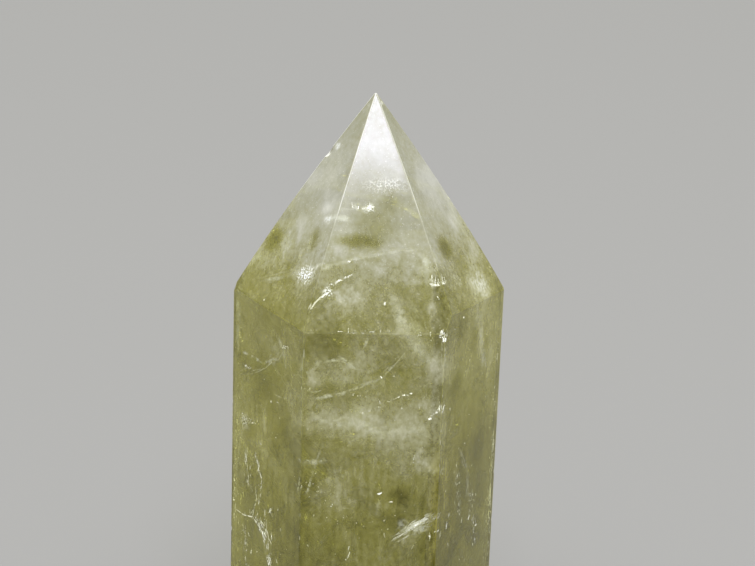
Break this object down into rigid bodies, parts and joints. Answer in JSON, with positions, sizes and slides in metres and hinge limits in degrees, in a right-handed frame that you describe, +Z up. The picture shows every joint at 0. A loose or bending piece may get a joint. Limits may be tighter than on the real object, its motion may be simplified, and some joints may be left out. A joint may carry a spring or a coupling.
{
  "type": "citrine crystal point",
  "caption": "Six-sided polished citrine quartz prism with a flat base and a sharp faceted tip, see-through yellow-green with milky veils.",
  "frame": {"origin": "middle of the flat base, where the stone stands", "axes": "+Z up along the crystal's length towards its tip, -Y out of the front side face, +X through the vertical edge at the right"},
  "size_m": [0.042, 0.0367, 0.1096],
  "materials": {
    "citrine": "polished, see-through pale yellow-green quartz of IOR 1.544, with milky veils and bright healed cracks inside"
  },
  "bodies": {
    "root": {"crystal_point": "citrine"}
  },
  "joints": []
}
